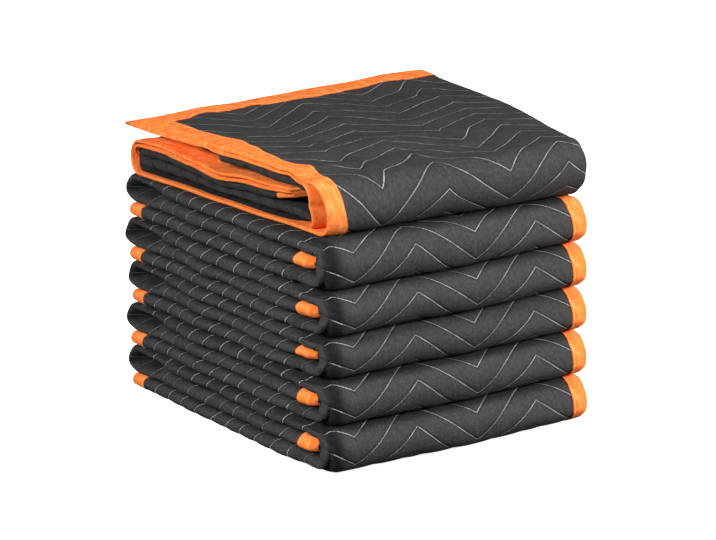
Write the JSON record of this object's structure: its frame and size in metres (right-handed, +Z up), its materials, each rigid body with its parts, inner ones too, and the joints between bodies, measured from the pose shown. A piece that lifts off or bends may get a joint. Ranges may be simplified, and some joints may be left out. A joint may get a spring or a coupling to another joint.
{
  "type": "moving blanket stack",
  "caption": "Stack of folded quilted moving blankets with wide contrasting bound edges; the top one lies loosely folded with a flap that fans out.",
  "frame": {"origin": "middle of the stack's bounding box, on the surface that it rests on", "axes": "+X towards the open side of the lower blankets, +Y towards the back of the stack, +Z up"},
  "size_m": [0.6389, 0.6224, 0.4803],
  "materials": {
    "quilted cloth": "charcoal woven cloth with light grey zigzag stitching, soft sheen",
    "binding tape": "orange woven edge tape, matt"
  },
  "bodies": {
    "root": {"blanket_1_panel": "quilted cloth", "blanket_1_binding": "binding tape", "blanket_2_panel": "quilted cloth", "blanket_2_binding": "binding tape", "blanket_3_panel": "quilted cloth", "blanket_3_binding": "binding tape", "blanket_4_panel": "quilted cloth", "blanket_4_binding": "binding tape", "blanket_5_panel": "quilted cloth", "blanket_5_binding": "binding tape", "blanket_6_panel": "quilted cloth", "blanket_6_binding": "binding tape"}
  },
  "joints": []
}
